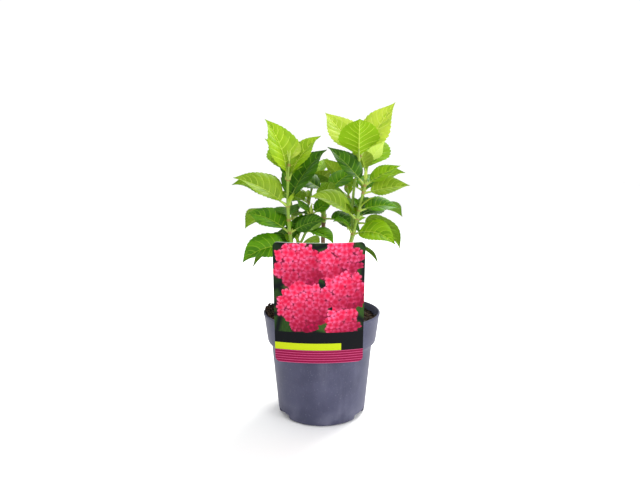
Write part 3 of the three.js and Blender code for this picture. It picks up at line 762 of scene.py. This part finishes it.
# Each mass is its shoots, and a shoot its pairs of leaves, as in the part's source: a height and a
# droop, then a turn, a rise, a size and a tint for each leaf.
MASSES = {
    "front_left": [
        {"foot": (-26, -14, 156), "tip": (-34, -30, 278), "bow": (-5, -2),
         "faces": -90, "fold": 30, "seed": 11,
         "pairs": [(188, 65, (200, 14, 50, "mid"), (122, 40, 38, "deep")),
                   (205, 34, (160, 36, 48, "mid"), (345, 33, 36, "deep")),
                   (233, 30, (195, 44, 56, "pale"), (18, 67, 66, "deep")),
                   (260, 30, (172, 85, 60, "lit"), (10, 64, 51, "lit")),
                   (276, 10, (75, 68, 30, "young")),
                   (219, 40, (96, 22, 44, "deep"))]},
        {"fork": 180, "tip": (-12, -12, 222), "bow": (2, 0), "faces": -60, "fold": 26, "seed": 15,
         "pairs": [(206, 50, (318, 4, 36, "mid")),
                   (222, 20, (24, 44, 28, "mid"), (150, 50, 20, "mid"))]},
    ],
    "front_right": [
        {"foot": (22, -12, 160), "tip": (46, -20, 258), "bow": (0.5, -2),
         "faces": -90, "fold": 30, "seed": 23,
         "pairs": [(203, 66, (216, 58, 26, "mid"), (328, 16, 46, "fresh")),
                   (219, 46, (202, 42, 51, "pale"), (50, 28, 44, "deep")),
                   (228, 38, (10, 20, 40, "mid"), (88, 24, 42, "mid")),
                   (247, 12, (352, 18, 42, "pale"), (68, 30, 40, "mid")),
                   (255, 14, (166, 50, 50, "deep"), (2, 38, 36, "fresh"))]},
        {"fork": 203, "tip": (41, -4, 285), "bow": (-3, 3), "faces": -90, "fold": 28, "seed": 29,
         "pairs": [(280, 28, (269, 49, 57, "lit")),
                   (286, 5, (143, 50, 57, "young"), (6, 60, 59, "young"))]},
    ],
    "centre": [
        {"foot": (2, 16, 212), "tip": (4, 14, 246), "bow": (0, 0), "faces": -90, "fold": 26, "seed": 31,
         "pairs": [(217, 60, (192, -8, 44, "deep"), (8, 2, 42, "deep")),
                   (233, 40, (100, 20, 38, "mid"), (280, 64, 32, "mid")),
                   (246, 20, (186, 36, 44, "deep"), (16, 40, 42, "mid"))]},
    ],
    "back_left": [
        {"foot": (-20, 24, 160), "tip": (-40, 42, 274), "bow": (-4, 6),
         "faces": 115, "fold": 26, "seed": 47,
         "pairs": [(184, 70, (205, 4, 54, "deep"), (62, 4, 44, "mid")),
                   (214, 60, (152, 15, 66, "mid"), (300, 30, 40, "deep")),
                   (243, 40, (184, 28, 60, "mid"), (348, 34, 48, "deep")),
                   (264, 20, (100, 46, 60, "fresh"), (258, 58, 44, "fresh")),
                   (274, 10, (180, 58, 36, "fresh"), (350, 58, 30, "young"))]},
        {"fork": 192, "tip": (-12, 60, 250), "bow": (2, 6), "faces": 95, "fold": 26, "seed": 53,
         "pairs": [(208, 60, (80, 5, 56, "deep")),
                   (232, 40, (130, 18, 54, "mid"), (212, 30, 36, "mid")),
                   (250, 22, (70, 46, 52, "fresh"), (318, 44, 32, "pale"))]},
    ],
    "back_right": [
        {"foot": (24, 24, 160), "tip": (52, 38, 276), "bow": (5, 4), "faces": 60, "fold": 26, "seed": 59,
         "pairs": [(184, 60, (335, -5, 34, "deep")),
                   (210, 75, (350, 5, 54, "mid")),
                   (222, 50, (32, 15, 64, "deep")),
                   (247, 35, (0, 40, 46, "mid"), (168, 34, 36, "mid")),
                   (268, 20, (65, 48, 60, "fresh"), (245, 48, 36, "pale")),
                   (276, 10, (155, 58, 36, "fresh"), (340, 58, 30, "young"))]},
        {"fork": 198, "tip": (30, 62, 252), "bow": (2, 8), "faces": 90, "fold": 26, "seed": 61,
         "pairs": [(214, 60, (95, 5, 56, "mid")),
                   (238, 38, (132, 24, 52, "mid")),
                   (252, 20, (60, 46, 52, "fresh"), (205, 54, 38, "pale"))]},
    ],
}


def shoot_point(shoot, height):
    """The middle of a shoot at a height: it leans from its foot to its tip, and bows on the way."""
    foot, tip, bow = shoot["foot"], shoot["tip"], shoot["bow"]
    f = (height - foot[2]) / (tip[2] - foot[2])
    k = 4.0 * f * (1.0 - f)
    x, y = [foot[axis] + (tip[axis] - foot[axis]) * f + bow[axis] * k for axis in range(2)]
    return Vector((x, y, height))


for shoots in MASSES.values():
    for side_shoot in shoots[1:]:
        side_shoot["foot"] = tuple(shoot_point(shoots[0], side_shoot["fork"]))


def along(values, share):
    """A value read off a short list at a share of its length."""
    at = min(max(share, 0.0), 1.0) * (len(values) - 1)
    k = min(int(at), len(values) - 2)
    return values[k] + (values[k + 1] - values[k]) * (at - k)


def tube(path, radius_of, sides):
    """Rings round a path. radius_of gives the radius at a share of its length and a turn round it."""
    rings = []
    across = Vector((1.0, 0.0, 0.0))
    for i, centre in enumerate(path):
        ahead = (path[min(i + 1, len(path) - 1)] - path[max(i - 1, 0)]).normalized()
        if abs(ahead.dot(across)) > 0.95:
            across = Vector((0.0, 1.0, 0.0))
        up = ahead.cross(across).normalized()
        across = up.cross(ahead)
        ring = []
        for j in range(sides):
            turn = math.tau * j / sides
            reach = radius_of(i / (len(path) - 1), turn)
            ring.append(tuple(centre + (across * math.cos(turn) + up * math.sin(turn)) * reach))
        rings.append(ring)
    return rings


def bezier(bends, steps):
    """A path that leaves the first of four points towards the second and ends at the last."""
    a, b, c, d = bends
    path = []
    for i in range(steps + 1):
        k = i / steps
        path.append(a * (1 - k) ** 3 + b * 3 * k * (1 - k) ** 2 + c * 3 * k * k * (1 - k) + d * k ** 3)
    return path


def rough_at(scale, turn, run, seed):
    """Noise on a round stem, at one scale round it and another along it."""
    around, lengthwise = scale
    return noise.noise(Vector((math.cos(turn) * around, math.sin(turn) * around, run * lengthwise + seed)))


def barked(radii, length, seed):
    """A radius with flaking ridges along the wood and a knuckle at each pair of old leaf scars."""
    def radius_of(share, turn):
        run = share * length
        ridge = rough_at(RIDGE_SCALE, turn, run, seed)
        flake = rough_at(FLAKE_SCALE, turn, run, seed)
        gap = (run + seed * 3.7) % SCAR_SPACING - SCAR_SPACING / 2.0
        one_sided = 0.6 + 0.4 * math.cos(2.0 * turn + seed)
        scar = SCAR_HEIGHT * math.exp(-((gap / SCAR_WIDTH) ** 2)) * one_sided
        return along(radii, share) + RIDGE_HEIGHT * ridge + FLAKE_HEIGHT * flake + scar
    return radius_of


wood = Skins()
stem_path = []
for i in range(STEM_STEPS + 1):
    k = i / STEM_STEPS
    lean = max(0.0, k - STEM_UPRIGHT) / (1.0 - STEM_UPRIGHT)
    px, py = [STEM_FOOT[axis] + (STEM_TOP[axis] - STEM_FOOT[axis]) * lean for axis in range(2)]
    pz = STEM_FOOT[2] - STEM_SINK + (STEM_TOP[2] - STEM_FOOT[2] + STEM_SINK) * k
    stem_path.append(Vector((px, py, pz)))
wood.loft(tube(stem_path, barked(STEM_RADII, STEM_BARK_RUN, 2.0), STEM_SIDES))
for order, (mass, height) in enumerate(BOUGH_HEIGHTS.items()):
    shoot = MASSES[mass][0]
    foot = Vector(shoot["foot"])
    heading = (shoot_point(shoot, shoot["foot"][2] + 8.0) - foot).normalized()
    k = (height - STEM_FOOT[2]) / (STEM_TOP[2] - STEM_FOOT[2])
    start = Vector(STEM_FOOT).lerp(Vector(STEM_TOP), k)
    end = foot + heading * BOUGH_OVERRUN
    span = (end - start).length
    outward = Vector((end.x - start.x, end.y - start.y, BOUGH_RISE)).normalized()
    bends = (start, start + outward * BOUGH_SWING * span, end - heading * BOUGH_SWING * span, end)
    bough_bark = barked(BOUGH_RADII, span * 1.1, 5.0 + order * 3.1)
    wood.loft(tube(bezier(bends, BOUGH_STEPS), bough_bark, BOUGH_SIDES))
bark = Finish("brown_bark", 0.85)
where = bark.place()
strand = bark.cloud(bark.stretched(where, (700.0, 700.0, 90.0)), 1.0, 5.0, 0.65)
patch = bark.cloud(where, 140.0, 4.0)
pore = bark.cloud(where, 800.0, 1.0)
brown = bark.mixed(strand.between(0.35, 0.65), linear(66, 44, 30), linear(134, 98, 66))
grey = bark.mixed(patch.between(0.5, 0.7) * 0.6, brown, linear(150, 128, 102))
bark.feed("Base Color", bark.mixed(pore.between(0.68, 0.73) * 0.8, grey, linear(176, 150, 118)))
bark.feed("Roughness", strand * 0.2 + 0.7)
bark.relief(strand * 0.8 + patch * 0.3, 0.0006)
woody_stems = wood.piece("woody_stems", [bark.material], 60)
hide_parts("main_stem", *["bough_" + mass for mass in BOUGH_HEIGHTS])

# Green shoots
# This year's growth: soft green shoots, shallowly grooved, swollen and brownish at each pair of leaves.
# Every leaf stands on a short stalk, with a plump bud in the corner over it.
LEAF_WIDTH_RATIO = 0.8
LEAF_LEAN = 0.756
LEAF_FULLNESS = 0.9
LEAF_TAPER = 0.75
LEAF_TILT = 34.0
LEAF_CURL = 0.3
LEAF_WAVE = 0.05
PETIOLE_LENGTH = 4.0
PETIOLE_SHARE = 0.1
SHOOT_RADII = (2.2, 1.4)
SIDE_SHOOT_RADII = (1.7, 1.2)
SHOOT_OVERRUN = 2.0
SHOOT_STEP = 1.5
JOINT_SWELL = 0.55
JOINT_SPREAD = 1.7
JOINT_COLOURED = 1.1
GROOVE_DEPTH = 0.05
STALK_RADIUS = 0.75
STALK_RADIUS_SHARE = 0.011
STALK_TAPER = (1.25, 1.0, 0.85, 0.8, 0.35)
STALK_SINK = 0.35
BUD_RADII = (0.5, 1.15, 1.2, 0.9, 0.5, 0.12)

# A bud's foot from the leaf's, and its tip from its foot: how far outward and how far up
BUD_FOOT = (1.6, 1.2)
BUD_TIP = (1.4, 4.2)

# How far the draws can move each measure of a leaf, in degrees or as a share of it
TURN_SPREAD = 5.0
RISE_SPREAD = 3.0
DROOP_SPREAD = 0.15
ROLL_SPREAD = 8.0
WIDTH_SPREAD = 0.06
FOLD_SPREAD = 6.0
WAVE_SPREAD = 3.0
TWIG_LOOKS = (
    ("shoot_green", 0.45, (126, 158, 44)), ("joint_brown", 0.6, (136, 124, 50)),
    ("stalk_green", 0.45, (158, 184, 70)), ("bud_green", 0.5, (150, 160, 66)))
SHOOT, JOINT, STALK, BUD = range(len(TWIG_LOOKS))


def draws(seed):
    """A function that gives the next of a fixed row of draws from 0 to 1, as in the part's source."""
    state = seed

    def draw():
        nonlocal state
        state = (state * 1664525 + 1013904223) % 2 ** 32
        return state / 2 ** 32
    return draw


def leaves_of(shoot):
    """The leaves of a shoot, by the rule and the order of draws of the part's source."""
    draw = draws(shoot["seed"])
    leaves = []
    for height, droop, *two in shoot["pairs"]:
        for side in range(2):
            chance = [draw() * 2.0 - 1.0 for _ in range(6)]
            if side >= len(two):
                continue
            turn, rise, size, tint = two[side]
            aside = math.sin(math.radians(shoot["faces"] - turn))
            leaves.append({
                "foot": shoot_point(shoot, height),
                "turn": math.radians(turn + TURN_SPREAD * chance[0]),
                "rise": math.radians(rise + RISE_SPREAD * chance[1]),
                "droop": math.radians(droop * (1.0 + DROOP_SPREAD * chance[2])),
                "roll": math.radians(ROLL_SPREAD * chance[3] - LEAF_TILT * aside),
                "length": size,
                "width": size * LEAF_WIDTH_RATIO * (1.0 + WIDTH_SPREAD * chance[4]),
                "petiole": PETIOLE_LENGTH + PETIOLE_SHARE * size,
                "fold": math.radians(shoot["fold"] + FOLD_SPREAD * chance[5]),
                "wave": WAVE_SPREAD * chance[4],
                "tint": tint,
            })
    return leaves


def blade_reach(s):
    """Half the width of a blade along its midrib: broad below the middle, drawn out to a point."""
    if s <= 0.0 or s >= 1.0:
        return 0.0
    return math.sin(math.pi * s ** LEAF_LEAN) ** LEAF_FULLNESS * (1.0 - LEAF_TAPER * s ** 4)


def blade(leaf):
    """A function that gives the place on a leaf at s along it, t across it and lift off its face."""
    rise, droop, length, petiole = leaf["rise"], leaf["droop"], leaf["length"], leaf["petiole"]
    away = Vector((math.cos(leaf["turn"]), math.sin(leaf["turn"]), 0.0))
    level = Vector((-away.y, away.x, 0.0))
    half = leaf["width"] / 2.0
    sin_fold, cos_fold = math.sin(leaf["fold"]), math.cos(leaf["fold"])
    sin_roll, cos_roll = math.sin(leaf["roll"]), math.cos(leaf["roll"])

    def place(s, t, lift=0.0):
        w = half * blade_reach(s)
        slope = rise - droop * s
        out = length / droop * (math.sin(rise) - math.sin(slope)) + petiole * math.cos(rise)
        up = length / droop * (math.cos(slope) - math.cos(rise)) + petiole * math.sin(rise)
        normal = away * -math.sin(slope) + Vector((0.0, 0.0, math.cos(slope)))
        side = level * cos_roll + normal * sin_roll
        face = normal * cos_roll - level * sin_roll
        u = abs(t) * w
        waved = LEAF_WAVE * w * t * t * math.sin(9.0 * s + leaf["wave"])
        raised = u * sin_fold - LEAF_CURL * u * u / half + waved
        midrib = leaf["foot"] + away * out + Vector((0.0, 0.0, up))
        return midrib + side * (t * w * cos_fold) + face * (raised + lift)
    return place


def swollen(shoot, radii):
    """A shoot's radius, thicker where its leaves stand."""
    low, high = shoot["foot"][2], shoot["tip"][2] + SHOOT_OVERRUN

    def radius_of(share, turn):
        height = low + (high - low) * share
        joint = max(math.exp(-(((height - pair[0]) / JOINT_SPREAD) ** 2)) for pair in shoot["pairs"])
        return along(radii, share) + JOINT_SWELL * joint + GROOVE_DEPTH * math.sin(5.0 * turn)
    return radius_of


def stalk(leaf, twigs):
    """A leaf's stalk, which runs on under its midrib and thins out there."""
    place = blade(leaf)
    thick = STALK_RADIUS + STALK_RADIUS_SHARE * leaf["length"]
    path = [leaf["foot"].lerp(place(0.0, 0.0), k / 5) for k in range(5)]
    path += [place(s, 0.0, -STALK_SINK) for s in (0.0, 0.05, 0.1, 0.16)]
    radii = [thick * share for share in STALK_TAPER]
    rings = tube(path, lambda share, turn: along(radii, share), 10)
    twigs.loft(rings, lambda row, column: JOINT if row < 1 else STALK)


def bud(leaf, twigs):
    """The plump bud in the corner between a leaf's stalk and its shoot."""
    away = Vector((math.cos(leaf["turn"]), math.sin(leaf["turn"]), 0.0))
    foot = leaf["foot"] + away * BUD_FOOT[0] + Vector((0.0, 0.0, BUD_FOOT[1]))
    tip = foot + away * BUD_TIP[0] + Vector((0.0, 0.0, BUD_TIP[1]))
    path = [foot.lerp(tip, k / 5) for k in range(6)]
    twigs.loft(tube(path, lambda share, turn: along(BUD_RADII, share), 8), lambda row, column: BUD)


def grown_twigs(shoots):
    """One mass's shoots, with the stalk and the bud of every leaf."""
    twigs = Skins()
    for number, shoot in enumerate(shoots):
        radii = SHOOT_RADII if number == 0 else SIDE_SHOOT_RADII
        low, high = shoot["foot"][2], shoot["tip"][2] + SHOOT_OVERRUN
        steps = int((high - low) / SHOOT_STEP)
        heights = [low + (high - low) * k / steps for k in range(steps + 1)]
        joints = [pair[0] for pair in shoot["pairs"]]

        def shade(row, column, heights=heights, joints=joints):
            away = min(abs(heights[row] - joint) for joint in joints)
            return JOINT if away < JOINT_COLOURED else SHOOT
        twigs.loft(tube([shoot_point(shoot, z) for z in heights], swollen(shoot, radii), 14), shade)
        for leaf in leaves_of(shoot):
            stalk(leaf, twigs)
            bud(leaf, twigs)
    return twigs


twig_finishes = []
for name, roughness, colour in TWIG_LOOKS:
    twig_finishes.append(Finish(name, roughness, linear(*colour)).material)
for mass, shoots in MASSES.items():
    twig_piece = grown_twigs(shoots).piece("twigs_" + mass, twig_finishes, 50)

# Leaves
# Broad toothed blades in opposite pairs, folded along the midrib and puckered between the side veins,
# which are pale. Young leaves are yellow-green and old ones deep green, and light shines through all of
# them. A small folded pair of new ones stands at each shoot's tip.

# VEINS are shares of the way along the midrib, TOOTH_STEPS shares of the way from vein to vein, and
# COLUMNS shares of the way from the midrib to the margin
VEINS = (0.07, 0.17, 0.28, 0.4, 0.52, 0.64, 0.75, 0.85)
TOOTH_STEPS = (0.12, 0.3, 0.5, 0.6, 0.8)
TOOTH_REACH = (0.0, 0.55, 1.0, 0.0, 0.6)
TOOTH_DEPTH = 0.075
VEIN_WIDTH = 0.36
MIDRIB_WIDTH = 0.6
COLUMNS = (-1.0, -0.9, -0.72, -0.52, -0.32, -0.14)
BLADE_HALF_THICK = 0.14
PUCKER = 0.015
VEIN_SWEEP = 1.9
TOOTH_FORWARD = 0.012
BARE_BASE = 0.12
BARE_TIP = 0.1
RIB_SINK = 0.25
RIB_RIDGE = 0.5
VEIN_RIDGE = 0.16
FULL_LENGTH = 50.0
RIB_TAPER = 0.75
VEIN_TAPER = 0.65
EDGE_TAPER = 0.6
RIDGE_TAPER = 0.8
LEAF_GLOSS = 0.2
LEAF_GLOW = 0.34
LEAF_PARTS = ("blade", "shade", "vein", "rib", "under")
BLADE, SHADE, VEIN, RIB, UNDER = range(len(LEAF_PARTS))
SKIN_ROUGHNESS = (0.46, 0.5, 0.5, 0.5, 0.7)

# A patch of one shade runs from vein to vein, across the rows of its teeth and the three of a vein
PATCH_ROWS = len(TOOTH_STEPS) + 3
PATCH_COLUMNS = 3

# The colours of the parts of a leaf, in the order of LEAF_PARTS, as a screen shows them. The lit tint is
# painted light: a brighter green for upper leaves that catch the light
TINTS = {
    "young": ((192, 212, 80), (176, 202, 64), (214, 230, 128), (224, 236, 150), (202, 222, 114)),
    "lit": ((162, 196, 34), (146, 184, 24), (208, 228, 88), (220, 236, 114), (148, 188, 26)),
    "fresh": ((134, 176, 12), (114, 158, 8), (180, 208, 58), (200, 218, 86), (158, 190, 44)),
    "pale": ((144, 176, 40), (128, 162, 28), (184, 206, 80), (200, 218, 104), (158, 184, 58)),
    "mid": ((96, 152, 6), (76, 132, 5), (148, 188, 48), (172, 202, 64), (130, 166, 32)),
    "deep": ((70, 120, 8), (54, 100, 6), (126, 168, 54), (156, 188, 72), (106, 144, 28)),
}


def leaf_finish(name, colour, roughness):
    """Leaf flesh: a satin skin that lets part of the light through, yellower than it came."""
    made = Finish(name, roughness, linear(*colour), Specular_IOR_Level=LEAF_GLOSS)
    red, green, blue, _ = linear(*colour)
    yellower = (min(1.0, red * 1.45), min(1.0, green * 1.3), blue * 0.5, 1.0)
    through = made.node("ShaderNodeBsdfTranslucent", {}, {"Color": yellower})
    skin = Wire(made, made.shader.outputs[0])
    flesh = made.node("ShaderNodeMixShader", {}, {0: LEAF_GLOW, 1: skin, 2: through})
    made.tree.links.new(flesh.socket, made.tree.nodes["Material Output"].inputs[0])
    return made.material


leaf_finishes = []
for tint, colours in TINTS.items():
    for part, colour, roughness in zip(LEAF_PARTS, colours, SKIN_ROUGHNESS):
        leaf_finishes.append(leaf_finish(tint + "_" + part, colour, roughness))
TINT_ORDER = {tint: len(LEAF_PARTS) * k for k, tint in enumerate(TINTS)}


def leaf_rows():
    """Rows of a blade from base to tip: a place, a side of a vein (-1 to 1), a tooth's reach, a pucker."""
    rows = []
    starts = (0.0, *VEINS)
    ends = (*VEINS, 1.0)
    for number, (start, end) in enumerate(zip(starts, ends)):
        if number > 0:
            rows += [(start, -1.0, 0.9, 0.0), (start, 0.0, 1.0, 0.0), (start, 1.0, 0.8, 0.0)]
        for step, reach in zip(TOOTH_STEPS, TOOTH_REACH):
            rows.append((start + (end - start) * step, 0.0, reach, math.sin(math.pi * step) ** 0.7))
    return rows


ROWS = leaf_rows()
VEIN_ROWS = {i for i, row in enumerate(ROWS[:-1]) if row[3] == 0.0 and ROWS[i + 1][3] == 0.0}


def add_leaf(leaf, skins, deal):
    """Lofts one leaf: each ring runs over its upper face and back under it."""
    place = blade(leaf)
    half = leaf["width"] / 2.0
    length = leaf["length"]
    size = min(1.0, length / FULL_LENGTH)
    rings = []
    for start, vein, tooth, pucker in ROWS:
        reach = max(0.4, half * blade_reach(max(0.02, start)))
        rib = min(0.1, MIDRIB_WIDTH * size * (1.0 - RIB_TAPER * start) / reach)
        across = [*COLUMNS, -rib, 0.0, rib, *[-c for c in reversed(COLUMNS)]]
        toothed = min(1.0, start / BARE_BASE) * min(1.0, (1.0 - start) / BARE_TIP)
        upper, lower = [], []
        for t in across:
            side = abs(t)
            width = VEIN_WIDTH * size / length * (1.0 - VEIN_TAPER * side)
            at = start + vein * width
            forward = (1.0 - at - (1.0 - at) ** VEIN_SWEEP) * side ** 1.25
            out = t * (1.0 + TOOTH_DEPTH * tooth * toothed * side ** 6)
            hook = TOOTH_FORWARD * tooth * toothed * (1.0 - at) * side ** 6
            s = min(0.999, max(0.001, at + forward + hook))
            bulge = PUCKER * length * blade_reach(at) * pucker * (1.0 - side ** 3) * side ** 0.4
            sunk = RIB_SINK * size if side <= rib else 0.0
            thick = BLADE_HALF_THICK * (1.0 - EDGE_TAPER * side)
            ridge = RIB_RIDGE if side <= rib else VEIN_RIDGE if pucker == 0.0 else 0.0
            ridge *= size * (1.0 - RIDGE_TAPER * start)
            upper.append(tuple(place(s, out, bulge - sunk + thick)))
            lower.append(tuple(place(s, out, bulge - sunk - thick - ridge)))
        rings.append(upper + lower[::-1])
    count = len(across)
    base = TINT_ORDER[leaf["tint"]]
    rib_columns = (count // 2 - 1, count // 2)
    lean_to_shade = deal.uniform(0.2, 0.6)
    patches = {}

    def shade(row, column):
        top = column < count - 1
        strip = column if top else 2 * count - 2 - column
        if strip in rib_columns:
            return base + RIB
        if row in VEIN_ROWS and abs(strip - count / 2 + 0.5) < count / 2 - 1.5:
            return base + VEIN
        if not top:
            return base + UNDER
        key = (row // PATCH_ROWS, strip // PATCH_COLUMNS)
        if key not in patches:
            patches[key] = deal.random()
        return base + (SHADE if patches[key] < lean_to_shade else BLADE)

    skins.loft(rings, shade)


LARGE_LEAF = 34.0
CORNER_LEAF_CHANCE = 0.65
BARE_TOP = 8.0


def new_leaves(shoot, deal):
    """The small folded pair at a shoot's tip, and now and then a small leaf in a lower corner."""
    tip = shoot_point(shoot, shoot["tip"][2] + 1.0)
    last = leaves_of(shoot)[-1]
    extra = []
    for side in (-1, 1):
        extra.append({
            "foot": tip, "turn": last["turn"] + side * math.pi / 2, "rise": math.radians(78.0),
            "droop": math.radians(-12.0), "roll": 0.0, "length": deal.uniform(9.0, 14.0), "width": 5.5,
            "petiole": 1.5, "fold": math.radians(48.0), "wave": 0.0, "tint": "young"})
    for leaf in leaves_of(shoot):
        chosen = leaf["length"] > LARGE_LEAF and deal.random() < CORNER_LEAF_CHANCE
        if chosen and leaf["foot"].z < shoot["tip"][2] - BARE_TOP:
            small = deal.uniform(13.0, 21.0)
            extra.append({
                "foot": leaf["foot"] + Vector((0.0, 0.0, 2.0)),
                "turn": leaf["turn"] + deal.uniform(-0.9, 0.9),
                "rise": math.radians(deal.uniform(50.0, 70.0)),
                "droop": math.radians(deal.uniform(15.0, 35.0)),
                "roll": deal.uniform(-0.3, 0.3), "length": small, "width": small * 0.62, "petiole": 3.0,
                "fold": math.radians(34.0), "wave": 1.0, "tint": deal.choice(("fresh", "mid", "pale"))})
    return extra


for mass, shoots in MASSES.items():
    leaf_skins = Skins()
    deal = random.Random(shoots[0]["seed"])
    for shoot in shoots:
        for leaf in leaves_of(shoot) + new_leaves(shoot, deal):
            add_leaf(leaf, leaf_skins, deal)
    leaf_piece = leaf_skins.piece("leaves_" + mass, leaf_finishes, 50)
    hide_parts("foliage_" + mass)
